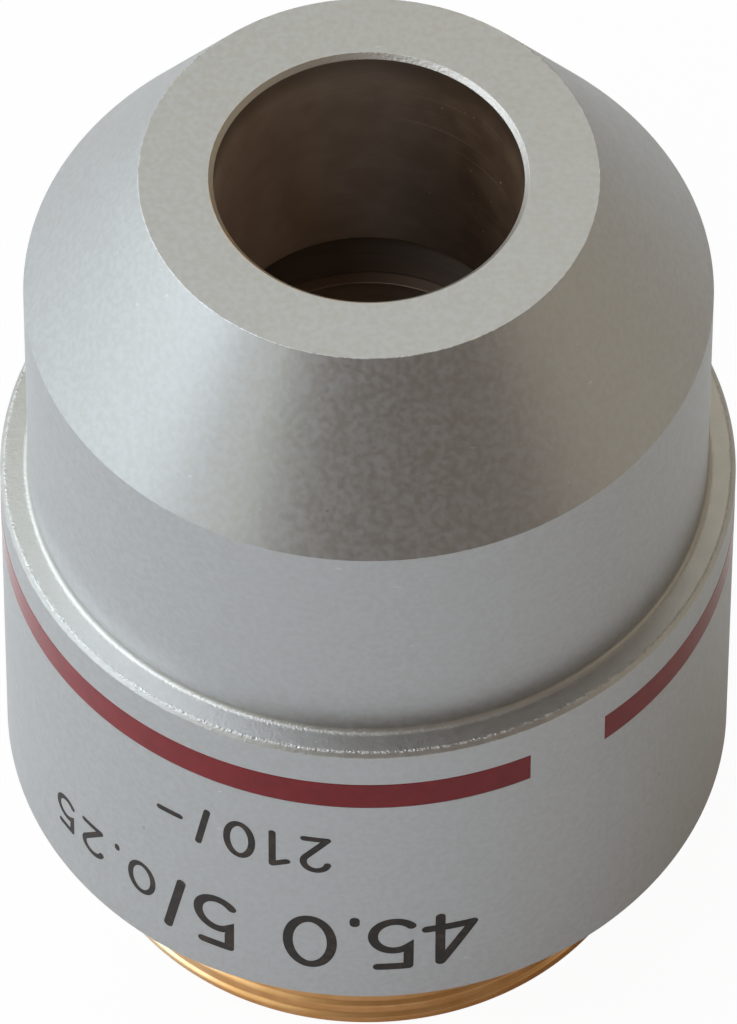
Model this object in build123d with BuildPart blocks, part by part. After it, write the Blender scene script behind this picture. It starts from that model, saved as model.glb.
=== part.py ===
"""Low-power microscope objective, standing on its mounting thread.

Every piece is turned about Z, the optical axis. The origin is the centre of the mounting
shoulder, and +Z runs up to the nose that faces the specimen. Lengths are in millimetres.
"""
import os
from math import cos, radians, sin, sqrt

from build123d import *

os.makedirs("parts", exist_ok=True)

# Fits between the pieces, all on the radius
slide_fit = 0.05
thread_fit = 0.05
lens_fit = 0.02
seat_film = 0.01

# Mounting thread and brass body: the diameters follow from the thread through the walls
thread_diameter = 20.32
thread_length = 5.4
thread_lead_in = 0.12
thread_wall = 1.76
relief_width = 0.8
relief_depth = 0.6
shoulder_undercut = 0.12
shoulder_gap = 0.19
recess_step = 0.2
recess_depth = 3.0
web_width = 1.3
web_thickness = 1.2
tube_wall = 2.1
tube_top = 13.0
flange_overhang = 1.6
flange_height = 3.0
rim_bevel = 0.3

# Engraved sleeve round the body
sleeve_wall = 0.9
sleeve_lift = 0.05
sleeve_height = 14.4
ledge_thickness = 1.6
ledge_clearance = 0.2
lip_width = 0.94
lip_bevel_width = 0.08
lip_bevel_height = 0.28
sleeve_edge_break = 0.06

# Enamelled colour band let into the sleeve, broken by one gap
band_drop = 1.83
band_width = 1.34
band_depth = 0.1
band_gap_angle = 13.7
band_gap_heading = 33.0

# Front hood with its cone and bore
cone_height = 6.0
cone_inset = 4.0
front_face_width = 2.56
front_bore_depth = 9.95
front_bore_bevel = 0.2
hood_thread_run_out = 0.6

# Lens barrel inside the body
shim_thickness = 0.3
barrel_flange_overhang = 1.4
barrel_flange_thickness = 1.7
barrel_flange_clearance = 0.3
nose_length = 4.65
nose_wall = 1.6
nose_gap = 0.45
neck_wall = 1.45
neck_overhang = 0.3
lock_ring_height = 1.6
lens_bore_step = 0.4
front_seat_depth = 6.75
front_seat_width = 0.7
seat_spacing = 3.4
rear_seat_width = 0.8

# Spanner slots of the threaded rings
slot_width = 1.0
slot_depth = 0.6

# Front doublet: a positive curve bulges towards the nose
front_crown_curve = 17.1
front_cement_curve = -18.0
front_rear_curve = -80.0
front_crown_edge = 0.91
front_flint_thickness = 1.2
front_ring_width = 0.48
front_ring_height = 1.75

# Middle lens in its cell
air_shim_thickness = 0.25
middle_cell_wall = 1.06
middle_cell_lip = 0.45
middle_cell_recess = 0.4
middle_lens_rim = 2.1
middle_rim_width = 0.6
middle_lens_curve = 20.0
snap_ring_thickness = 0.35
stop_thickness = 0.3
stop_width = 2.38

# Rear doublet behind its spacer
rear_spacer_length = 1.95
rear_spacer_wall = 0.68
rear_flint_curve = 38.0
rear_cement_curve = 13.0
rear_crown_curve = -14.4
rear_flint_thickness = 1.0
rear_crown_edge = 1.59
rear_ring_width = 0.58
rear_ring_height = 1.3


def face_height(vertex, curve, radius):
    """Height of a spherical face at a distance from the axis."""
    depth = abs(curve) - sqrt(curve**2 - radius**2)
    return vertex - depth if curve > 0 else vertex + depth


def bulge(curve, radius):
    """Depth of a spherical face from its vertex to its rim."""
    return abs(face_height(0, curve, radius))


def turned(*corners):
    """Straight-sided section revolved about the optical axis, in the open part block."""
    with BuildSketch(Plane.XZ) as section:
        with BuildLine():
            Polyline(*corners, close=True)
        make_face()
    revolve(section.sketch, axis=Axis.Z)


def ring(inner_radius, outer_radius, base, top):
    """Plain turned ring between two heights, in the open part block."""
    turned((inner_radius, base), (outer_radius, base), (outer_radius, top), (inner_radius, top))


def spanner_slots(face_plane, inner_radius, outer_radius):
    """Two slots across a ring's face, cut down from the plane, for a pin spanner."""
    with BuildSketch(face_plane) as slots:
        with PolarLocations((inner_radius + outer_radius) / 2, 2):
            Rectangle(2 * (outer_radius - inner_radius), slot_width)
    extrude(slots.sketch, amount=-slot_depth, mode=Mode.SUBTRACT)


def circle_edge(part, height, radius):
    """The circular edge of a turned piece nearest to a height and a radius."""
    circles = part.edges().filter_by(GeomType.CIRCLE)
    return circles.sort_by(lambda e: abs(e.center().Z - height) + abs(e.radius - radius))[0]


def save(piece, name):
    """Label a finished piece and write it out."""
    piece.part.label = name
    export_step(piece.part, f"parts/{name}.step")


# Mounting body: brass, with the thread below the shoulder and a tube that carries the rest
thread_radius = thread_diameter / 2
relief_radius = thread_radius - relief_depth
shoulder_radius = thread_radius + shoulder_gap
recess_radius = thread_radius - thread_wall
bore_radius = recess_radius - recess_step
web_radius = bore_radius - web_width
tube_radius = bore_radius + tube_wall
flange_radius = tube_radius + flange_overhang
web_bottom = recess_depth - thread_length
web_top = web_bottom + web_thickness

with BuildPart() as mount_body:
    turned(
        (recess_radius, -thread_length),
        (thread_radius, -thread_length),
        (thread_radius, -relief_width),
        (relief_radius, -relief_width),
        (relief_radius, shoulder_undercut),
        (shoulder_radius, shoulder_undercut),
        (shoulder_radius, 0),
        (flange_radius, 0),
        (flange_radius, flange_height),
        (tube_radius, flange_height),
        (tube_radius, tube_top),
        (bore_radius, tube_top),
        (bore_radius, web_top),
        (web_radius, web_top),
        (web_radius, web_bottom),
        (recess_radius, web_bottom),
    )
    chamfer(circle_edge(mount_body, -thread_length, thread_radius), length=thread_lead_in)
    chamfer(circle_edge(mount_body, -thread_length, recess_radius), length=rim_bevel)
    chamfer(circle_edge(mount_body, tube_top, tube_radius), length=rim_bevel)
save(mount_body, "mount_body")

# Engraved sleeve: slips over the flange, and its ledge is clamped by the hood
sleeve_bore_radius = flange_radius + slide_fit
sleeve_radius = sleeve_bore_radius + sleeve_wall
sleeve_top = sleeve_lift + sleeve_height
ledge_top = flange_height + ledge_thickness
ledge_radius = tube_radius + ledge_clearance
lip_radius = sleeve_radius - lip_width
groove_radius = sleeve_radius - band_depth
band_middle = sleeve_top - band_drop - band_width / 2

# The band starts at one side of its gap and runs round to the other side
band_start = band_gap_heading + band_gap_angle / 2
band_arc = 360 - band_gap_angle


def band_plane(heading):
    """Half plane through the axis at a heading, which is turned from -Y towards +X."""
    across = (sin(radians(heading)), -cos(radians(heading)), 0)
    return Plane(origin=(0, 0, 0), x_dir=across, z_dir=Vector(across).cross(Vector(0, 0, 1)))


with BuildPart() as engraved_sleeve:
    turned(
        (sleeve_bore_radius, sleeve_lift),
        (sleeve_radius, sleeve_lift),
        (sleeve_radius, sleeve_top - lip_bevel_height),
        (sleeve_radius - lip_bevel_width, sleeve_top),
        (lip_radius, sleeve_top),
        (lip_radius, ledge_top),
        (ledge_radius, ledge_top),
        (ledge_radius, flange_height),
        (sleeve_bore_radius, flange_height),
    )
    chamfer(circle_edge(engraved_sleeve, sleeve_lift, sleeve_radius), length=sleeve_edge_break)
    with BuildSketch(band_plane(band_start)):
        with Locations((sleeve_radius, band_middle)):
            Rectangle(2 * band_depth, band_width)
    revolve(axis=Axis.Z, revolution_arc=band_arc, mode=Mode.SUBTRACT)
save(engraved_sleeve, "engraved_sleeve")

# Colour band: hard enamel that fills the groove flush
with BuildPart() as colour_band:
    with BuildSketch(band_plane(band_start)):
        with Locations(((groove_radius + seat_film + sleeve_radius) / 2, band_middle)):
            Rectangle(band_depth - seat_film, band_width - 2 * seat_film)
    revolve(axis=Axis.Z, revolution_arc=band_arc)
save(colour_band, "colour_band")

# Front hood: screws down over the body's tube on to the sleeve's ledge, and clears the lens barrel
hood_radius = lip_radius - slide_fit
front_radius = hood_radius - cone_inset
front_bore_radius = front_radius - front_face_width
skirt_radius = tube_radius + thread_fit
barrel_flange_radius = bore_radius + barrel_flange_overhang
cavity_radius = barrel_flange_radius + barrel_flange_clearance
shim_top = tube_top + shim_thickness
skirt_top = shim_top + hood_thread_run_out
barrel_flange_top = shim_top + barrel_flange_thickness
barrel_front = barrel_flange_top + nose_length
cavity_top = barrel_front + nose_gap
front_height = cavity_top + front_bore_depth

with BuildPart() as front_hood:
    turned(
        (skirt_radius, ledge_top),
        (hood_radius, ledge_top),
        (hood_radius, front_height - cone_height),
        (front_radius, front_height),
        (front_bore_radius, front_height),
        (front_bore_radius, cavity_top),
        (cavity_radius, cavity_top),
        (cavity_radius, skirt_top),
        (skirt_radius, skirt_top),
    )
    chamfer(circle_edge(front_hood, front_height, front_bore_radius), length=front_bore_bevel)
save(front_hood, "front_hood")

# Parfocal shim: sets the lens barrel's height on the body, and ends flush with its flange
with BuildPart() as parfocal_shim:
    ring(bore_radius + slide_fit, barrel_flange_radius, tube_top, shim_top)
save(parfocal_shim, "parfocal_shim")

# Lens barrel: hangs by its flange, with a front bore and a rear bore for the lenses
barrel_radius = bore_radius - slide_fit
neck_radius = web_radius - slide_fit
barrel_rear = web_bottom - lock_ring_height - neck_overhang
front_bore_wall = front_bore_radius + lens_bore_step
front_seat_radius = front_bore_wall - front_seat_width
front_seat_height = barrel_front - front_seat_depth
nose_radius = front_bore_wall + nose_wall
rear_bore_wall = neck_radius - neck_wall
rear_seat_radius = rear_bore_wall - rear_seat_width
rear_seat_height = front_seat_height - seat_spacing

with BuildPart() as lens_barrel:
    turned(
        (rear_bore_wall, barrel_rear),
        (neck_radius, barrel_rear),
        (neck_radius, web_top + slide_fit),
        (barrel_radius, web_top + slide_fit),
        (barrel_radius, shim_top),
        (barrel_flange_radius, shim_top),
        (barrel_flange_radius, barrel_flange_top),
        (nose_radius, barrel_flange_top),
        (nose_radius, barrel_front),
        (front_bore_wall, barrel_front),
        (front_bore_wall, front_seat_height),
        (front_seat_radius, front_seat_height),
        (rear_seat_radius, rear_seat_height),
        (rear_bore_wall, rear_seat_height),
    )
save(lens_barrel, "lens_barrel")

# Lock ring: screws on the barrel's neck and draws its flange down on the shim
lock_ring_base = web_bottom - lock_ring_height
lock_inner_radius = neck_radius + thread_fit
lock_outer_radius = recess_radius - slide_fit

with BuildPart() as barrel_lock_ring:
    ring(lock_inner_radius, lock_outer_radius, lock_ring_base, web_bottom)
    spanner_slots(Plane.XY.offset(lock_ring_base).rotated((180, 0, 0)), lock_inner_radius, lock_outer_radius)
save(barrel_lock_ring, "barrel_lock_ring")


def ground_lens(name, radius, clear_radius, top, top_curve, base, base_curve):
    """Lens ground from a glass disc by a sphere on each face, which leaves any rim outside it flat."""
    disc_top = max(top, face_height(top, top_curve, clear_radius))
    disc_base = min(base, face_height(base, base_curve, clear_radius))
    top_mode = Mode.INTERSECT if top_curve > 0 else Mode.SUBTRACT
    base_mode = Mode.SUBTRACT if base_curve > 0 else Mode.INTERSECT
    with BuildPart() as lens:
        with BuildSketch(Plane.XY.offset(disc_base)) as disc:
            Circle(radius)
        extrude(disc.sketch, amount=disc_top - disc_base)
        for vertex, curve, mode in ((top, top_curve, top_mode), (base, base_curve, base_mode)):
            with Locations((0, 0, vertex - curve)):
                Sphere(abs(curve), rotation=(90, 0, 0), mode=mode)
    save(lens, name)


# Front doublet: the flint's rear face rests on the barrel's seat, and the crown is cemented on it
front_lens_radius = front_bore_wall - lens_fit
front_flint_rear = front_seat_height + seat_film - face_height(0, front_rear_curve, front_seat_radius)
front_flint_top = front_flint_rear + front_flint_thickness
front_crown_base = front_flint_top + seat_film
front_crown_rim = front_crown_base + bulge(front_cement_curve, front_lens_radius) + front_crown_edge
front_crown_top = front_crown_rim + bulge(front_crown_curve, front_lens_radius)

ground_lens(
    "front_flint_lens",
    front_lens_radius,
    front_lens_radius,
    front_flint_top,
    front_cement_curve,
    front_flint_rear,
    front_rear_curve,
)
ground_lens(
    "front_crown_lens",
    front_lens_radius,
    front_lens_radius,
    front_crown_top,
    front_crown_curve,
    front_crown_base,
    front_cement_curve,
)

# Front retaining ring: screws down the front bore on to the crown's face
front_ring_radius = front_bore_wall - lens_fit
front_ring_inner = front_ring_radius - front_ring_width
front_ring_base = face_height(front_crown_top, front_crown_curve, front_ring_inner) + seat_film
front_ring_top = front_ring_base + front_ring_height

with BuildPart() as front_retaining_ring:
    ring(front_ring_inner, front_ring_radius, front_ring_base, front_ring_top)
    spanner_slots(Plane.XY.offset(front_ring_top), front_ring_inner, front_ring_radius)
save(front_retaining_ring, "front_retaining_ring")

# Air space shim: a thin washer between the barrel's rear seat and the middle cell
rear_stack_radius = rear_bore_wall - lens_fit
air_shim_base = rear_seat_height - air_shim_thickness

with BuildPart() as air_space_shim:
    ring(rear_seat_radius, rear_stack_radius, air_shim_base, rear_seat_height)
save(air_space_shim, "air_space_shim")

# Middle cell: a cup that holds the concave lens against its front lip
middle_lens_top = air_shim_base - middle_cell_lip
middle_lens_base = middle_lens_top - middle_lens_rim
snap_ring_base = middle_lens_base - snap_ring_thickness
middle_cell_base = snap_ring_base - middle_cell_recess
middle_pocket_radius = rear_stack_radius - middle_cell_wall
middle_lens_radius = middle_pocket_radius - lens_fit
middle_opening_radius = middle_lens_radius - middle_rim_width

with BuildPart() as middle_cell:
    turned(
        (middle_pocket_radius, middle_cell_base),
        (rear_stack_radius, middle_cell_base),
        (rear_stack_radius, air_shim_base),
        (middle_opening_radius, air_shim_base),
        (middle_opening_radius, middle_lens_top),
        (middle_pocket_radius, middle_lens_top),
    )
save(middle_cell, "middle_cell")

# Middle lens: hollow on both faces, with flat ground rims
hollow_depth = bulge(middle_lens_curve, middle_opening_radius)

ground_lens(
    "middle_lens",
    middle_lens_radius,
    middle_opening_radius,
    middle_lens_top - hollow_depth,
    -middle_lens_curve,
    middle_lens_base + hollow_depth,
    middle_lens_curve,
)

# Snap ring: keeps the concave lens in its cell
with BuildPart() as middle_snap_ring:
    ring(middle_opening_radius, middle_lens_radius, snap_ring_base, middle_lens_base)
save(middle_snap_ring, "middle_snap_ring")

# Aperture stop: a blackened disc that limits the cone of light
stop_base = middle_cell_base - stop_thickness

with BuildPart() as aperture_stop:
    ring(rear_stack_radius - stop_width, rear_stack_radius, stop_base, middle_cell_base)
save(aperture_stop, "aperture_stop")

# Rear spacer: a short tube from the stop to the rear doublet
rear_spacer_base = stop_base - rear_spacer_length
rear_spacer_radius = rear_stack_radius - rear_spacer_wall

with BuildPart() as rear_spacer:
    ring(rear_spacer_radius, rear_stack_radius, rear_spacer_base, stop_base)
save(rear_spacer, "rear_spacer")

# Rear doublet: the flint meets the spacer's edge, and the crown is cemented behind it
rear_flint_top = rear_spacer_base - seat_film - face_height(0, rear_flint_curve, rear_spacer_radius)
rear_flint_base = rear_flint_top - rear_flint_thickness
rear_crown_top = rear_flint_base - seat_film
rear_crown_rim = rear_crown_top - bulge(rear_cement_curve, rear_stack_radius) - rear_crown_edge
rear_crown_base = rear_crown_rim - bulge(rear_crown_curve, rear_stack_radius)

ground_lens(
    "rear_flint_lens",
    rear_stack_radius,
    rear_stack_radius,
    rear_flint_top,
    rear_flint_curve,
    rear_flint_base,
    rear_cement_curve,
)
ground_lens(
    "rear_crown_lens",
    rear_stack_radius,
    rear_stack_radius,
    rear_crown_top,
    rear_cement_curve,
    rear_crown_base,
    rear_crown_curve,
)

# Rear retaining ring: screws up the rear bore on to the crown's face
rear_ring_inner = rear_stack_radius - rear_ring_width
rear_ring_top = face_height(rear_crown_base, rear_crown_curve, rear_ring_inner) - seat_film
rear_ring_base = rear_ring_top - rear_ring_height

with BuildPart() as rear_retaining_ring:
    ring(rear_ring_inner, rear_stack_radius, rear_ring_base, rear_ring_top)
    spanner_slots(Plane.XY.offset(rear_ring_base).rotated((180, 0, 0)), rear_ring_inner, rear_stack_radius)
save(rear_retaining_ring, "rear_retaining_ring")
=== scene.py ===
from math import cos, pi, radians, sin

import bmesh
import bpy
import numpy as np
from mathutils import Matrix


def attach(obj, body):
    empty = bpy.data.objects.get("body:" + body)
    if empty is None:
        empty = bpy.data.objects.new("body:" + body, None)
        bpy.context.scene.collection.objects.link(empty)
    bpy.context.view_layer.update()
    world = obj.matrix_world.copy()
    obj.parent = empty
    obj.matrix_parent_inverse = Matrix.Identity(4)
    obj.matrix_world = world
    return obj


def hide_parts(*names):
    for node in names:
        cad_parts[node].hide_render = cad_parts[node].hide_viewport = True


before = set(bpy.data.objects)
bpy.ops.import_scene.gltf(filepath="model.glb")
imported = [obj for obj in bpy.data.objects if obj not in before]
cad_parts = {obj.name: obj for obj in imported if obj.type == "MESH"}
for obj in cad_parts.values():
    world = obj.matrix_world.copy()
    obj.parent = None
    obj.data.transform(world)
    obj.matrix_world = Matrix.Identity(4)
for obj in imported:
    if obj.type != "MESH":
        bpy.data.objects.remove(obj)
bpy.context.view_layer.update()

# Mounting body
# One turned brass piece: the mounting thread, its shoulder, a flange under the sleeve and a
# tube up inside the hood. It is left bare, so the thread shows yellow below the sleeve.
mm = 0.001
hair = 1e-6
thread_pitch = 25.4 / 36
thread_depth = 0.24 * thread_pitch
thread_phase, crest_share, run_out_slope = 0.88, 0.45, 1.5
thread_radius = 10.16
thread_end = -5.4
thread_start = -0.8
relief_radius = 9.56
lead_in = 0.12
turn_rows = 118
shoulder_radius, shoulder_height = 10.35, 0.12
flange_radius, flange_top = 11.9, 3.0
tube_radius, tube_top, tube_bore = 10.3, 13.0, 8.2
web_bore, web_low, web_high = 6.9, -2.4, -1.2
recess_bore = 8.4


def rounded(*corners, steps=6):
    """Closed section of a turned piece, one row of radius, height and edge for each point.

    Each corner (radius, height, fillet, wear) becomes an arc that touches both of its sides: its
    ends lie fillet / tan(half the corner's angle) along them. The edge value is the corner's wear
    on the arc and 0 on a point a little past each end, so that the flats between stay flat.
    """
    corner = np.array([(*c, 0)[:4] for c in corners], float)
    point, fillet = corner[:, :2], corner[:, 2:3]
    back = np.roll(point, 1, axis=0) - point
    ahead = np.roll(point, -1, axis=0) - point
    back /= np.linalg.norm(back, axis=1, keepdims=True)
    ahead /= np.linalg.norm(ahead, axis=1, keepdims=True)
    half = np.arccos((back * ahead).sum(axis=1, keepdims=True)) / 2
    reach = fillet / np.tan(half)
    inward = (back + ahead) / np.linalg.norm(back + ahead, axis=1, keepdims=True)
    centre = point + inward * fillet / np.sin(half)
    start = point + back * reach - centre
    stop = point + ahead * reach - centre
    span = pi - 2 * half
    share = np.linspace(0, 1, steps + 1)
    early = (np.sin((1 - share) * span) / np.sin(span))[..., None]
    late = (np.sin(share * span) / np.sin(span))[..., None]
    arc = centre[:, None] + early * start[:, None] + late * stop[:, None]
    margin = reach + np.minimum(fillet, 0.04)
    before = (point + back * margin)[:, None]
    after = (point + ahead * margin)[:, None]
    rows = np.concatenate([before, arc, after], axis=1)
    edge = np.tile(corner[:, 3:], rows.shape[1])
    edge[:, [0, -1]] = 0
    return np.concatenate([rows, edge[..., None]], axis=2).reshape(-1, 3)


whole_turn = np.linspace(0, 2 * pi, 288, endpoint=False)


def turned(name, section, headings=whole_turn, form=None, whole=True):
    """Piece turned about the axis from a section of radius, height and edge rows, in millimetres.

    The row at radius r and height z, at heading h from -Y towards +X, is (r sin h, -r cos h, z).
    A form, if given, moves the grid first: it takes headings, radii and heights and returns new
    radii and heights. A section that begins on the axis is left open there and its poles merge;
    a turn that isn't whole gets a flat end on each side.
    """
    heading, radius = np.meshgrid(headings, section[:, 0], indexing="ij")
    height = np.broadcast_to(section[:, 1], radius.shape)
    if form:
        radius, height = form(heading, radius, height)
    grid = np.stack([radius * np.sin(heading), -radius * np.cos(heading), height], axis=-1)
    columns, rows = radius.shape
    from_axis = section[0, 0] == 0
    column, row = np.meshgrid(
        np.arange(columns if whole else columns - 1),
        np.arange(rows - 1 if from_axis else rows),
        indexing="ij",
    )
    here, there = column * rows, (column + 1) % columns * rows
    above = (row + 1) % rows
    quads = np.stack([here + row, there + row, there + above, here + above], axis=-1)
    faces = quads.reshape(-1, 4).tolist()
    if not whole:
        faces += [list(range(rows)), list(range((columns - 1) * rows, columns * rows))[::-1]]
    mesh = bpy.data.meshes.new(name)
    mesh.from_pydata((grid.reshape(-1, 3) * mm).tolist(), [], faces)
    edge = mesh.attributes.new("edge", "FLOAT", "POINT").data
    edge.foreach_set("value", np.tile(section[:, 2], columns))
    if from_axis:
        merged = bmesh.new()
        merged.from_mesh(mesh)
        bmesh.ops.remove_doubles(merged, verts=merged.verts, dist=1e-9)
        merged.to_mesh(mesh)
        merged.free()
    mesh.shade_smooth()
    mesh.set_sharp_from_angle(angle=radians(35))
    piece = bpy.data.objects.new(name, mesh)
    bpy.context.scene.collection.objects.link(piece)
    return piece


def thread_form(heading, radius, height):
    """Right-hand thread: the radius falls from a flat crest by the thread depth times the smooth
    step of a triangle wave of height / pitch - heading / one turn, and runs out at both ends."""
    turn = height / thread_pitch - heading / (2 * pi) + thread_phase
    wave = np.clip((np.abs(2 * (turn % 1) - 1) - crest_share) / (1 - crest_share), 0, 1)
    wave = wave * wave * (3 - 2 * wave)
    crest = thread_radius - thread_depth * wave
    crest = np.minimum(crest, thread_radius - lead_in + height - thread_end)
    run_out = run_out_slope * (thread_start - height)
    crest = np.minimum(crest, thread_radius + run_out - thread_depth)
    threaded = (height >= thread_end + hair) & (height <= thread_start) & (radius > relief_radius)
    return np.where(threaded, np.maximum(crest, relief_radius - 0.05), radius), height


class Shade:
    """One socket of a material. Arithmetic on it adds Math nodes, and node() adds any other."""

    def __init__(self, socket):
        self.socket = socket
        self.tree = socket.id_data

    def node(self, kind, settings, sockets, output=0):
        """A node of a type, its settings set first, then the values or links of its sockets."""
        made = self.tree.nodes.new(kind)
        for setting, value in settings.items():
            setattr(made, setting, value)
        for socket, value in sockets.items():
            if isinstance(value, Shade):
                self.tree.links.new(value.socket, made.inputs[socket])
            else:
                made.inputs[socket].default_value = value
        return Shade(made.outputs[output])

    def maths(self, operation, *values):
        """A Math node on values or numbers."""
        return self.node("ShaderNodeMath", {"operation": operation}, dict(enumerate(values)))

    def __add__(self, other):
        return self.maths("ADD", self, other)

    def __sub__(self, other):
        return self.maths("SUBTRACT", self, other)

    def __rsub__(self, other):
        return self.maths("SUBTRACT", other, self)

    def __mul__(self, other):
        return self.maths("MULTIPLY", self, other)

    __radd__ = __add__
    __rmul__ = __mul__

    def along(self, axis):
        """One of a place's coordinates, X, Y or Z."""
        return self.node("ShaderNodeSeparateXYZ", {}, {"Vector": self}, axis)

    def mask(self, name):
        """Value from 0 to 1 that the mesh keeps under a name."""
        return self.node("ShaderNodeAttribute", {"attribute_name": name}, {}, "Fac")

    def noise(self, scale, detail=2.0, stretch=(1, 1, 1)):
        """Cloudy value from 0 to 1, with a number of lumps to the metre, drawn out along the axes."""
        place = self.node("ShaderNodeMapping", {}, {"Vector": self, "Scale": stretch})
        return self.node("ShaderNodeTexNoise", {}, {"Vector": place, "Scale": scale, "Detail": detail})

    def step(self, low, high):
        """Smooth step of a value from 0 at low to 1 at high."""
        sockets = {"Value": self, "From Min": low, "From Max": high}
        return self.node("ShaderNodeMapRange", {"interpolation_type": "SMOOTHSTEP"}, sockets)

    def blend(self, first, second):
        """Colour between two colours, by this value."""
        sockets = {0: self, 6: first, 7: second}
        return self.node("ShaderNodeMix", {"data_type": "RGBA"}, sockets, 2)

    def bump(self, distance):
        """Surface normal roughened by this value times a distance in metres, as a height."""
        return self.node("ShaderNodeBump", {}, {"Height": self, "Distance": distance})


def finish(name, constants):
    """New material with its constant sockets set, its shader, and its Object coordinates."""
    material = bpy.data.materials.new(name)
    material.use_nodes = True
    shader = material.node_tree.nodes["Principled BSDF"]
    for socket, value in constants.items():
        shader.inputs[socket].default_value = value
    coordinates = material.node_tree.nodes.new("ShaderNodeTexCoord")
    return material, shader, Shade(coordinates.outputs["Object"])


def feed(shader, varying):
    """Link values that vary over the surface to a shader's sockets."""
    for socket, value in varying.items():
        shader.id_data.links.new(value.socket, shader.inputs[socket])


def fit(piece, slot, finishes, *nodes):
    """Give a piece its finishes and set it in the assembly for its CAD nodes; the slot is not used."""
    for material in finishes:
        piece.data.materials.append(material)
    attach(piece, "root")
    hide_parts(*nodes)


bare_brass, shader, place = finish("bare_brass", {"Metallic": 1.0})
tarnish = place.noise(900, 4)
scratch = place.noise(700, 3, (1, 1, 30))
# Painted highlight: the base colour turns pale cream towards the thread's left end.
painted_light = place.along("X").step(-4.5 * mm, -9 * mm)
brass = tarnish.step(0.35, 0.7).blend((0.90, 0.53, 0.235, 1), (0.80, 0.445, 0.175, 1))
feed(shader, {
    "Base Color": painted_light.blend(brass, (0.94, 0.78, 0.54, 1)),
    "Roughness": 0.28 + 0.18 * tarnish,
    "Normal": scratch.bump(4e-6),
})

body_section = rounded(
    (recess_bore, thread_end, 0.1),
    (thread_radius - lead_in, thread_end, 0.04),
    (thread_radius, thread_end + lead_in, 0.04),
    (thread_radius, thread_start, 0.04),
    (relief_radius, thread_start, 0.04),
    (relief_radius, shoulder_height, 0.04),
    (shoulder_radius, shoulder_height, 0.04),
    (shoulder_radius, 0.0, 0.04),
    (flange_radius, 0.0, 0.08),
    (flange_radius, flange_top, 0.04),
    (tube_radius, flange_top, 0.04),
    (tube_radius, tube_top, 0.2),
    (tube_bore, tube_top, 0.04),
    (tube_bore, web_high, 0.04),
    (web_bore, web_high, 0.04),
    (web_bore, web_low, 0.04),
    (recess_bore, web_low, 0.04),
)
# The rows from the lead-in's arc to the run-out give way to close rows for the turns.
wall = (body_section[:, 0] > relief_radius + 0.1) & (body_section[:, 1] < thread_start + 0.01)
first, last = np.flatnonzero(wall)[[0, -1]]
turns = np.linspace(thread_end + 0.02, thread_start, turn_rows)
turns = np.stack([np.full_like(turns, thread_radius), turns, np.zeros_like(turns)], axis=1)
half_arc = 5
body_section = np.concatenate([body_section[:first + half_arc], turns, body_section[last + 1:]])
mount_body = turned("brass_mount_body", body_section, form=thread_form)
fit(mount_body, "bare_brass", [bare_brass], "mount_body")

# Engraved sleeve
# A turned brass sleeve with satin chrome plate, slipped over the body and clamped by the hood.
# Its lip is nearly flat, coved up to the hood and bevelled outside, where the plate is worn and
# burred. A groove for the colour band runs round it.
sleeve_radius = 12.844
sleeve_foot = 0.05
sleeve_bore, sleeve_front_bore = 11.95, 11.91
ledge_bore, ledge_low, ledge_high = 10.5, 3.0, 4.6
bevel_foot = 14.15
lip_radius, lip_edge = 12.70, 14.315
cove_radius, cove_foot, cove_top = 11.862, 14.40, 14.70
cove_fillet, cove_skin = 0.20, 0.012
groove_radius, groove_low, groove_high = 12.75, 11.28, 12.62
groove_land, groove_slack = 0.03, 0.01
gap_middle, gap_half = 33.0, 6.85
gap_start, gap_end = radians(gap_middle - gap_half), radians(gap_middle + gap_half)


def groove_form(heading, radius, height):
    """Groove for the band: rows marked by a radius below the wall's come back to it in the gap."""
    in_gap = (heading > gap_start) & (heading < gap_end)
    in_groove = (radius < sleeve_radius) & (radius > groove_radius - groove_slack)
    in_groove &= (height > groove_low - groove_slack) & (height < groove_high + groove_slack)
    return np.where(in_gap & in_groove, sleeve_radius, radius), height


satin_chrome, shader, place = finish("satin_chrome", {})
edge, dull = place.mask("edge"), place.mask("dull")
grain = place.noise(4200, 4)
cloud = place.noise(1400, 4)
worn = edge * place.noise(4200, 3).step(0.47, 0.57)
nose = place.along("Z").step(29 * mm, 29.9 * mm)
bared = nose * edge * place.noise(650, 2).step(0.60, 0.68)
burr = (edge + 0.24 * dull) * (place.noise(9500, 2) - 0.5)
pit = place.noise(2100, 1).step(0.80, 0.86)
fleck = place.noise(3000, 1, (0.5, 1.6, 1.6)).step(0.76, 0.84)
speck = grain.step(0.32, 0.68)
plate = speck.blend((0.493, 0.486, 0.477, 1), (0.518, 0.520, 0.522, 1))
plate = dull.blend(plate, (0.530, 0.520, 0.488, 1))
plate = (0.5 * pit).blend(plate, (0.26, 0.24, 0.21, 1))
plate = (0.5 * fleck).blend(plate, (0.72, 0.71, 0.69, 1))
feed(shader, {
    "Metallic": 1.0 - 0.14 * speck,
    "Base Color": bared.blend(worn.blend(plate, (0.66, 0.64, 0.60, 1)), (0.82, 0.62, 0.38, 1)),
    "Roughness": 0.34 + 0.12 * cloud + 0.06 * dull + 0.28 * worn,
    "Normal": (5e-6 * grain + 5e-5 * burr).bump(1.0),
})

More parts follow.
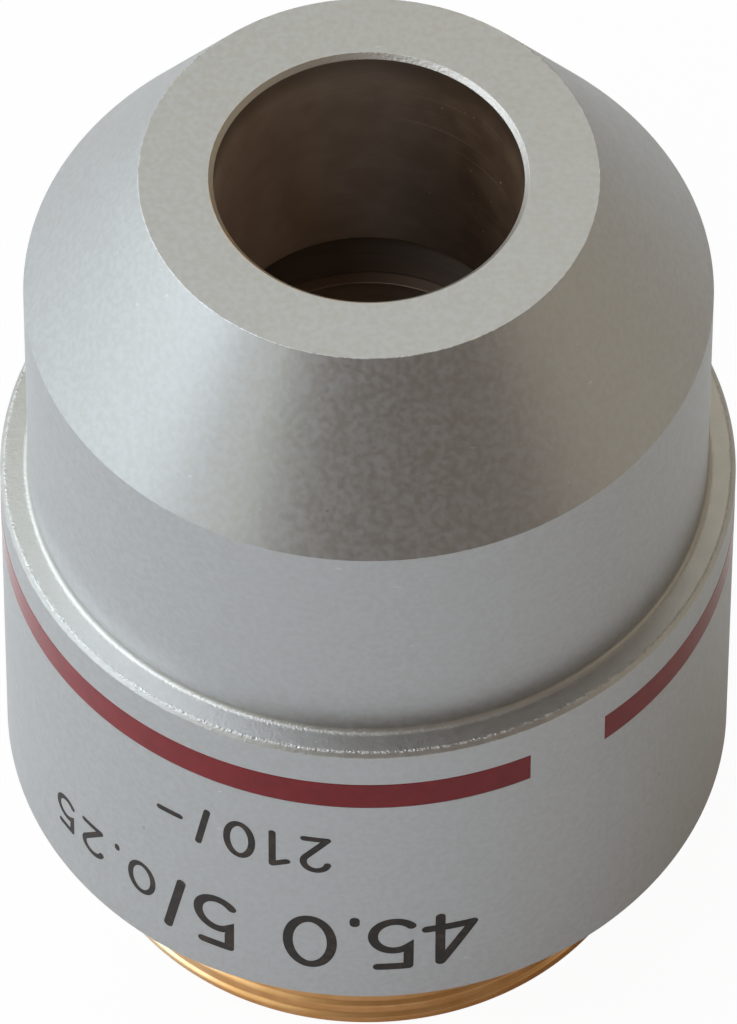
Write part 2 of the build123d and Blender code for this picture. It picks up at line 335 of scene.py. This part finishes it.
sleeve_section = rounded(
    (sleeve_bore, sleeve_foot, 0.05),
    (sleeve_radius, sleeve_foot, 0.06, 0.2),
    (sleeve_radius, bevel_foot, 0.06, 0.4),
    (lip_radius, lip_edge, 0.09, 1.0),
    (cove_radius, cove_foot, cove_fillet, 0.1),
    (cove_radius, cove_top, 0.002),
    (cove_radius - cove_skin, cove_top, 0.002),
    (cove_radius - cove_skin, cove_foot, 0.01),
    (sleeve_front_bore, cove_foot - 0.1, 0.02),
    (sleeve_front_bore, ledge_high, 0.05),
    (ledge_bore, ledge_high, 0.05),
    (ledge_bore, ledge_low, 0.05),
    (sleeve_bore, ledge_low, 0.05),
)
foot_rows = (sleeve_section[:, 0] > sleeve_radius - 0.05) & (sleeve_section[:, 1] < 1)
low_rows = np.flatnonzero(foot_rows)[-1] + 1
groove_rows = np.array([
    (sleeve_radius, groove_low - groove_land, 0),
    (sleeve_radius, groove_low, 0),
    (groove_radius, groove_low, 0),
    (groove_radius, groove_high, 0),
    (sleeve_radius, groove_high, 0),
    (sleeve_radius, groove_high + groove_land, 0),
])
sleeve_section = np.concatenate([sleeve_section[:low_rows], groove_rows, sleeve_section[low_rows:]])
gap_sides = np.array([gap_start, gap_start + hair, gap_end - hair, gap_end])
sleeve_headings = np.sort(np.concatenate([whole_turn, gap_sides]))
sleeve = turned("chrome_sleeve", sleeve_section, sleeve_headings, groove_form)
on_lip = (sleeve_section[:, 1] > bevel_foot - 0.05) & (sleeve_section[:, 0] > cove_radius + 0.001)
in_cove = on_lip & (sleeve_section[:, 0] < cove_radius + cove_fillet - cove_skin)
dull_face = sleeve.data.attributes.new("dull", "FLOAT", "POINT").data
dull_face.foreach_set("value", np.tile(0.6 * on_lip + 0.6 * in_cove, len(sleeve_headings)))
fit(sleeve, "satin_chrome", [satin_chrome], "engraved_sleeve")

# Engraved figures
# Plain numbers cut through the plate with a round engraving tool and filled with dark paint.
# They stand upside down on the sleeve, so that they read right with the objective in use.
mark_radius = 12.849
mark_depth = 0.05


def bow(x, y, across, up, start, stop, count=40):
    """Part of an ellipse about (x, y), between two angles in degrees."""
    angle = np.radians(np.linspace(start, stop, count))
    return np.stack([x + across * np.cos(angle), y + up * np.sin(angle)], axis=1)


def line(*points, count=12):
    """Straight runs through the points, each divided evenly."""
    share = np.linspace(0, 1, count)[:-1, None]
    points = np.array(points, float)
    runs = points[:-1, None] * (1 - share) + points[1:, None] * share
    return np.concatenate([runs.reshape(-1, 2), points[-1:]])


# Each figure has its advance and its strokes, both for a height of 1.
figures = {
    "0": (0.56, [bow(0.28, 0.5, 0.225, 0.44, 90, 450, 61)]),
    "1": (0.42, [line((0.04, 0.80), (0.29, 0.93)), line((0.29, 0.93), (0.29, 0.06))]),
    "2": (0.56, [
        np.vstack([bow(0.28, 0.70, 0.21, 0.23, 165, -35), line((0.452, 0.568), (0.08, 0.06))[1:]]),
        line((0.08, 0.06), (0.48, 0.06)),
    ]),
    "4": (0.60, [
        line((0.42, 0.06), (0.42, 0.92)),
        line((0.41, 0.93), (0.08, 0.27)),
        line((0.08, 0.27), (0.56, 0.27)),
    ]),
    "5": (0.56, [
        line((0.44, 0.93), (0.14, 0.93)),
        np.vstack([(0.13, 0.93), bow(0.27, 0.34, 0.22, 0.28, 130, -140)]),
    ]),
    "/": (0.42, [line((0.13, 0.04), (0.30, 0.95))]),
    ".": (0.26, [line((0.10, 0.03), (0.10, 0.09), count=3)]),
    "-": (0.50, [line((0.06, 0.50), (0.46, 0.50))]),
}


def engraved(text, size, width, start, baseline, spread, spacing):
    """Strokes of a line of figures on the sleeve, as vertices and faces.

    Each stroke is a flat bar carried along its path: at a path point the bar's sides stand off
    by half the width along the mitre, (n1 + n2) / (1 + n1.n2) of the normals of the runs on each
    side. An open stroke ends in half circles: a swing s past its end the path goes on by sin s and
    the sides close by cos s of half the width. A point (x, y) of the text then lies at heading
    start - x / radius and height baseline - y, because the line is upside down.
    """
    swing = np.radians([86, 65, 43, 22])[:, None]
    reach, close = width / 2 * np.sin(swing), width / 2 * np.cos(swing)
    vertices, faces, along, count = [], [], 0.0, 0
    for figure in text:
        advance, strokes = figures[figure]
        for stroke in strokes:
            path = stroke * size * (spread, 1) + (along, 0)
            half = np.full((len(path), 1), width / 2)
            closed = np.allclose(path[0], path[-1])
            if not closed:
                out, on = path[0] - path[1], path[-1] - path[-2]
                out, on = out / np.hypot(*out), on / np.hypot(*on)
                path = np.concatenate([path[0] + out * reach, path, path[-1] + on * reach[::-1]])
                half = np.concatenate([close, half, close[::-1]])
            run = np.diff(path, axis=0)
            run /= np.linalg.norm(run, axis=1, keepdims=True)
            normal = np.stack([-run[:, 1], run[:, 0]], axis=1)
            first = normal[-1:] if closed else normal[:1]
            last = normal[:1] if closed else normal[-1:]
            one, two = np.concatenate([first, normal]), np.concatenate([normal, last])
            mitre = (one + two) / (1 + (one * two).sum(axis=1, keepdims=True)) * half
            sides = np.stack([path + mitre, path - mitre, path - mitre, path + mitre], axis=1)
            heading, height = start - sides[..., 0] / sleeve_radius, baseline - sides[..., 1]
            radius = np.repeat([mark_radius, mark_radius - mark_depth], 2)
            points = [radius * np.sin(heading), -radius * np.cos(heading), height]
            points = np.stack(points, axis=-1)
            number = len(path)
            i, j = np.meshgrid(np.arange(number - 1) * 4, np.arange(4), indexing="ij")
            following = i + 4
            if closed:
                number -= 1
                following = following % (4 * number)
            k = (j + 1) % 4
            bars = np.stack([i + j, following + j, following + k, i + k], axis=-1) + count
            faces += bars.reshape(-1, 4).tolist()
            if not closed:
                end = count + 4 * (number - 1)
                faces += [[count, count + 1, count + 2, count + 3], [end + 3, end + 2, end + 1, end]]
            vertices.append(points.reshape(-1, 3)[:4 * number])
            count += 4 * number
        along += advance * size * spread + spacing
    return np.concatenate(vertices), faces


mark_paint, shader, place = finish("mark_paint", {"Roughness": 0.55, "Specular IOR Level": 0.3})
faded = place.noise(2200, 3).step(0.45, 0.75)
feed(shader, {"Base Color": faded.blend((0.025, 0.019, 0.016, 1), (0.058, 0.036, 0.025, 1))})

lines = [
    engraved("45.0", 3.05, 0.36, radians(18.2), 4.70, 1.14, 0.05),
    engraved("5/", 3.03, 0.36, radians(-20.0), 4.52, 1.10, 0.0),
    engraved("0.25", 1.82, 0.23, radians(-35.1), 4.33, 1.22, 0.28),
    engraved("210/-", 2.07, 0.26, radians(-5.3), 9.37, 1.0, 0.36),
]
vertices = np.concatenate([points for points, _ in lines])
starts = np.cumsum([0] + [len(points) for points, _ in lines])
faces = np.concatenate([np.array(bars) + start for start, (_, bars) in zip(starts, lines)])
mesh = bpy.data.meshes.new("engraved_figures")
mesh.from_pydata((vertices * mm).tolist(), [], faces.tolist())
marks = bpy.data.objects.new("engraved_figures", mesh)
bpy.context.scene.collection.objects.link(marks)
fit(marks, "blackened_brass", [mark_paint])

# Colour band
# Dark red enamel in the sleeve's groove, flush with the plate and stoved hard, so it is glossier
# than the chrome round it. It is broken by one gap.
band_radius, band_bed = 12.85, groove_radius + 0.01
band_low, band_high = groove_low + 0.01, groove_high - 0.01

red_enamel, shader, place = finish("red_enamel", {"Specular IOR Level": 0.2})
cloud = place.noise(1600, 4)
feed(shader, {
    "Base Color": cloud.step(0.3, 0.75).blend((0.230, 0.013, 0.016, 1), (0.190, 0.010, 0.013, 1)),
    "Roughness": 0.06 + 0.10 * cloud,
})
band_section = rounded(
    (band_bed, band_low, 0.01),
    (band_radius, band_low, 0.02),
    (band_radius, band_high, 0.02),
    (band_bed, band_high, 0.01),
    steps=3,
)
band_turn = np.linspace(gap_end + 0.001, gap_start + 2 * pi - 0.001, 280)
quarter_turns = np.array([0.5, 1.0, 1.5, 2.0]) * pi
band_turn = np.unique(np.concatenate([band_turn, quarter_turns]))
band = turned("enamel_colour_band", band_section, band_turn, whole=False)
fit(band, "red_enamel", [red_enamel], "colour_band")

# Front hood
# Turned brass with the same satin chrome plate, screwed over the body's tube on to the sleeve's
# ledge. Its bore is painted matt brown-black against stray light, with painted light making it
# lighter on the left and deeper down. The bevel at its rim is cut after plating, so brass shows
# where it is worn, and is lighter on the left as painted light.
hood_radius, hood_foot, cone_foot = 11.86, 4.6, 24.05
nose_radius, nose_top = 7.86, 30.05
bore_radius, bore_foot, bore_bevel = 5.3, 20.1, 0.17
inner_radius, screw_radius, screw_top = 9.9, 10.35, 13.9

bore_paint, shader, place = finish("bore_paint", {"Specular IOR Level": 0.02})
ripple = place.noise(1.0, 3, (300, 300, 9000))
smear = place.noise(800, 4)
dust = place.noise(5200, 1).step(0.76, 0.84)
# Painted light: the paint is lighter towards the left side and deeper down the bore.
side = place.along("X").step(3.8 * mm, -5.0 * mm)
depth = place.along("Z").step(29.5 * mm, 20.5 * mm)
rim = place.along("Z").step(28.6 * mm, 29.8 * mm)
painted_light = side * (0.55 + 0.45 * depth)
dark_smear_painted_light = painted_light.blend((0.070, 0.043, 0.026, 1), (0.75, 0.59, 0.47, 1))
pale_smear_painted_light = painted_light.blend((0.097, 0.060, 0.037, 1), (0.83, 0.68, 0.55, 1))
paint = (0.2 * ripple + 0.8 * smear).step(0.35, 0.65).blend(dark_smear_painted_light, pale_smear_painted_light)
scuff = place.noise(1.0, 2, (170, 170, 7000)).step(0.67, 0.74)
paint = (0.07 * scuff).blend(paint, (0.66, 0.52, 0.40, 1))
paint = (0.5 * rim).blend(paint, (0.020, 0.014, 0.010, 1))
feed(shader, {
    "Base Color": dust.blend(paint, (0.40, 0.31, 0.24, 1)),
    "Roughness": 0.55 + 0.2 * smear,
    "Normal": ripple.bump(1e-6),
})
cut_edge, shader, place = finish("cut_edge", {"Metallic": 1.0, "Roughness": 0.5})
# Lighter on the left as painted light, and browner there where brass shows through the cut.
left = place.along("X").step(2.5 * mm, -4.5 * mm)
near = place.along("Y").step(0.5 * mm, -1.8 * mm)
high = place.along("Z").step(29.94 * mm, 29.98 * mm)
bared = left * near * high * place.noise(1800, 2).step(0.35, 0.60)
cut = left.blend((0.47, 0.445, 0.405, 1), (0.62, 0.57, 0.49, 1))
feed(shader, {
    "Base Color": bared.blend(cut, (0.80, 0.54, 0.29, 1)),
    "Normal": place.noise(9000, 2).bump(1.6e-5),
})

hood_section = rounded(
    (screw_radius, hood_foot, 0.05),
    (hood_radius, hood_foot, 0.05),
    (hood_radius, cone_foot, 0.04),
    (nose_radius, nose_top, 0.022, 0.6),
    (bore_radius + bore_bevel, nose_top, 0.03),
    (bore_radius, nose_top - bore_bevel, 0.03),
    (bore_radius, bore_foot, 0.03),
    (inner_radius, bore_foot, 0.05),
    (inner_radius, screw_top, 0.05),
    (screw_radius, screw_top, 0.05),
)
hood = turned("chrome_front_hood", hood_section)
centres = np.empty(3 * len(hood.data.polygons), np.float32)
hood.data.polygons.foreach_get("center", centres)
centres = centres.reshape(-1, 3) / mm
across, height = np.hypot(centres[:, 0], centres[:, 1]), centres[:, 2]
inside = (across < screw_radius + 0.05) & (height > hood_foot + 0.1) & (height < cone_foot)
inside |= across < bore_radius + 0.02
on_bevel = (across < bore_radius + bore_bevel + 0.02) & (height > nose_top - bore_bevel - 0.015)
coats = np.where(on_bevel, 2, inside).astype(np.int32)
hood.data.polygons.foreach_set("material_index", coats)
fit(hood, "satin_chrome", [satin_chrome, bore_paint, cut_edge], "front_hood")

# Lens barrel
# Turned aluminium tube, black anodised, that hangs by its flange on a shim at the top of the body
# and holds every lens. Its front bore is the dark band deep inside the hood.
neck_radius, neck_foot, neck_top = 6.85, -4.3, -1.15
barrel_radius = 8.15
collar_radius, collar_low, collar_high = 9.6, 13.3, 15.0
head_radius, head_top = 7.3, 19.65
front_bore, front_seat, front_stop = 5.7, 12.9, 5.0
rear_bore, rear_seat, rear_stop = 5.4, 9.5, 4.6

black_anodised, shader, place = finish("black_anodised", {"Specular IOR Level": 0.4})
ripple = place.noise(1.0, 3, (300, 300, 7000))
feed(shader, {
    "Base Color": ripple.step(0.3, 0.7).blend((0.23, 0.180, 0.145, 1), (0.27, 0.217, 0.176, 1)),
    "Roughness": 0.45 + 0.15 * ripple,
    "Normal": ripple.bump(1e-6),
})
barrel_section = rounded(
    (rear_bore, neck_foot, 0.1),
    (neck_radius, neck_foot, 0.1),
    (neck_radius, neck_top, 0.04),
    (barrel_radius, neck_top, 0.1),
    (barrel_radius, collar_low, 0.05),
    (collar_radius, collar_low, 0.1),
    (collar_radius, collar_high, 0.1),
    (head_radius, collar_high, 0.05),
    (head_radius, head_top, 0.1),
    (front_bore, head_top, 0.1),
    (front_bore, front_seat, 0.04),
    (front_stop, front_seat, 0.02),
    (rear_stop, rear_seat, 0.02),
    (rear_bore, rear_seat, 0.02),
)
barrel = turned("black_lens_barrel", barrel_section)
fit(barrel, "black_anodised", [black_anodised], "lens_barrel")


def coat(material, *nodes):
    """Give CAD nodes that keep their own shape a finish."""
    for node in nodes:
        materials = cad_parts[node].data.materials
        materials.clear()
        materials.append(material)


coat(black_anodised, "aperture_stop")

# Lenses
# Five ground glass lenses with a faint coating: a cemented doublet at the front, a hollow lens in
# its cell, and a cemented doublet at the rear. The rims are edged round and fit the barrel's bores.
slack = 0.02
front_rim, rear_rim = front_bore - slack, rear_bore - slack

coated_glass, shader, place = finish("coated_glass", {
    "Base Color": (0.97, 0.95, 0.92, 1),
    "Transmission Weight": 1.0,
    "IOR": 1.55,
})
feed(shader, {"Roughness": 0.02 * place.noise(300, 2)})


def ground(name, radius, top, top_curve, base, base_curve, node):
    """Lens of two spherical faces: at distance r from the axis a face of curve c and vertex v has
    height v - c + sign(c) sqrt(c c - r r). The rows go out along the base and back along the top."""
    out = np.linspace(0, radius, 25)
    low = base - base_curve + np.sign(base_curve) * np.sqrt(base_curve**2 - out**2)
    high = top - top_curve + np.sign(top_curve) * np.sqrt(top_curve**2 - out**2)
    r, z = np.concatenate([out, out[::-1]]), np.concatenate([low, high[::-1]])
    lens = turned(name, np.stack([r, z, np.zeros_like(r)], axis=1), whole_turn[::3])
    fit(lens, "coated_glass", [coated_glass], node)


# Each lens has its rim's radius, then the height and curve of its top, then those of its base.
ground("front_crown_glass", front_rim, 16.764, 17.1, 13.964, -18.0, "front_crown_lens")
ground("front_flint_glass", front_rim, 13.954, -18.0, 12.754, -80.0, "front_flint_lens")
ground("rear_flint_glass", rear_rim, 3.982, 38.0, 2.982, 13.0, "rear_flint_lens")
ground("rear_crown_glass", rear_rim, 2.972, 13.0, -0.826, -14.4, "rear_crown_lens")
coat(coated_glass, "middle_lens")

# Rings and spacers
# Small turned brass rings, chemically blackened, that hold the lenses: slotted rings at the front
# and rear, the lock ring on the barrel's neck, and the shims, cell and spacer between the lenses.
blackened_brass, shader, place = finish("blackened_brass", {"Metallic": 0.6})
ripple = place.noise(1.0, 3, (500, 500, 9000))
rub = place.noise(2500, 3).step(0.6, 0.8)
feed(shader, {
    "Base Color": (0.5 * rub).blend((0.50, 0.375, 0.285, 1), (0.66, 0.43, 0.24, 1)),
    "Roughness": 0.35 + 0.2 * ripple,
    "Normal": ripple.bump(4e-6),
})
slot_half_width, slot_depth = 0.5, 0.6


def slotted_ring(name, inner, outer, base, top, face, node):
    """Threaded ring with two spanner slots: rows on the slotted face sink by the slot's depth
    where the point's distance from the X axis is under half the slot's width."""
    section = rounded(
        (inner, base, 0.03),
        (outer, base, 0.03),
        (outer, top, 0.03),
        (inner, top, 0.03),
        steps=3,
    )
    middle = (inner + outer) / 2
    side = np.arcsin(slot_half_width / middle)
    sides = np.array([pi / 2 - side, pi / 2 + side, 3 * pi / 2 - side, 3 * pi / 2 + side])
    headings = np.sort(np.concatenate([whole_turn[::2], sides - hair, sides + hair]))

    def form(heading, radius, height):
        """Sink the slotted face inside the slots."""
        in_slot = np.abs(np.cos(heading)) < np.sin(side)
        if face == "top":
            return radius, np.where(in_slot, np.minimum(height, top - slot_depth), height)
        return radius, np.where(in_slot, np.maximum(height, base + slot_depth), height)

    ring = turned(name, section, headings, form)
    fit(ring, "blackened_brass", [blackened_brass], node)


slotted_ring("front_slotted_ring", 5.2, front_rim, 15.964, 17.714, "top", "front_retaining_ring")
slotted_ring("rear_slotted_ring", 4.8, rear_rim, -1.313, -0.013, "base", "rear_retaining_ring")
slotted_ring("neck_lock_ring", 6.9, 8.35, -4.0, -2.4, "base", "barrel_lock_ring")
plain_rings = ("air_space_shim", "middle_cell", "middle_snap_ring", "parfocal_shim", "rear_spacer")
coat(blackened_brass, *plain_rings)

# Table and light tent
# A white table inside a tent of soft cloth walls, lit from outside: brightest on the left, where
# the window is, weaker and warmer on the right, and open to the front for the camera.
half_table = 130
corners = np.array([(-1, -1), (1, -1), (1, 1), (-1, 1)]) * half_table
mesh = bpy.data.meshes.new("white_table")
mesh.from_pydata([(x * mm, y * mm, thread_end * mm) for x, y in corners], [], [(0, 1, 2, 3)])
table = bpy.data.objects.new("white_table", mesh)
bpy.context.scene.collection.objects.link(table)
white_paint, shader, place = finish("white_paint", {"Base Color": (0.8, 0.8, 0.8, 1), "Roughness": 0.9})
table.data.materials.append(white_paint)
ray = place.tree.nodes.new("ShaderNodeLightPath").outputs
seen = Shade(ray["Is Camera Ray"]) * 0.96
glow = place.node("ShaderNodeEmission", {}, {"Strength": 1.0})
surface = place.node("ShaderNodeMixShader", {}, {0: seen, 1: Shade(shader.outputs[0]), 2: glow})
place.tree.links.new(surface.socket, white_paint.node_tree.nodes["Material Output"].inputs["Surface"])

world = bpy.data.worlds.new("room")
world.use_nodes = True
bpy.context.scene.world = world
room = world.node_tree.nodes["Background"]
ray = world.node_tree.nodes.new("ShaderNodeLightPath").outputs
feed(room, {"Color": Shade(ray["Is Camera Ray"]).blend((0.202, 0.166, 0.140, 1), (1, 1, 1, 1))})


def tent_wall(name, centre, facing, across, up, radiance, colour):
    """Area lamp for one cloth wall: its centre, the way it faces and its size are in millimetres,
    and its power is radiance times pi times its area, so that the cloth looks that bright."""
    lamp = bpy.data.lights.new(name, "AREA")
    lamp.shape = "RECTANGLE"
    lamp.size, lamp.size_y = across * mm, up * mm
    lamp.energy = radiance * pi * lamp.size * lamp.size_y
    lamp.color = colour
    holder = bpy.data.objects.new(name, lamp)
    holder.location = np.array(centre) * mm
    holder.rotation_euler = facing
    holder.visible_camera = False
    bpy.context.scene.collection.objects.link(holder)


quarter = pi / 2
tent_wall("window_low", (-150, 20, 32), (quarter, 0, -quarter), 260, 75, 1.077, (0.867, 1.0, 1.017))
tent_wall("window_high", (-150, 20, 145), (quarter, 0, -quarter), 260, 150, 2.715, (0.892, 1.0, 1.137))
tent_wall("key_cloth", (-112, 80, 220), (0, 0, 0), 75, 140, 2.18, (0.860, 1.0, 1.008))
tent_wall("top_left_cloth", (-112, -70, 220), (0, 0, 0), 75, 160, 3.66, (0.916, 1.0, 1.128))
tent_wall("top_cloth", (0, 80, 220), (0, 0, 0), 150, 140, 0.919, (0.899, 1.0, 1.001))
tent_wall("back_cloth", (-75, 150, 107), (quarter, 0, pi), 150, 225, 0.2625, (1.041, 1.0, 0.744))
tent_wall("back_right_cloth", (75, 150, 155), (quarter, 0, pi), 150, 130, 0.528, (1.103, 1.0, 0.738))
tent_wall("front_left_cloth", (-118, -150, 107), (quarter, 0, 0), 65, 225, 0.899, (0.897, 1.0, 0.909))
tent_wall("right_cloth", (150, 20, 42), (quarter, 0, quarter), 260, 95, 0.286, (1.038, 1.0, 0.788))

# Camera
# A long lens from well above the front, level to a fifth of a degree, framed as the photograph is.
pitch, roll = radians(52.5157), radians(0.2212)
aim = np.array([0.0266, 0.0, 11.3219])
distance = 479.3927
focal_pixels, picture_height = 13667.31, 1024
back = np.array([0.0, -cos(pitch), sin(pitch)])
right = np.array([1.0, 0.0, 0.0])
up = np.cross(back, right)
right, up = cos(roll) * right + sin(roll) * up, cos(roll) * up - sin(roll) * right
camera = bpy.data.cameras.new("camera")
camera.sensor_width = 36.0
camera.lens = focal_pixels * camera.sensor_width / picture_height
camera.clip_start, camera.clip_end = 0.01, 10
viewer = bpy.data.objects.new("camera", camera)
turn = np.eye(4)
turn[:3, 0], turn[:3, 1], turn[:3, 2] = right, up, back
turn[:3, 3] = (aim + distance * back) * mm
viewer.matrix_world = turn.T.tolist()
bpy.context.scene.collection.objects.link(viewer)
bpy.context.scene.camera = viewer
bpy.context.scene.view_settings.view_transform = "Standard"
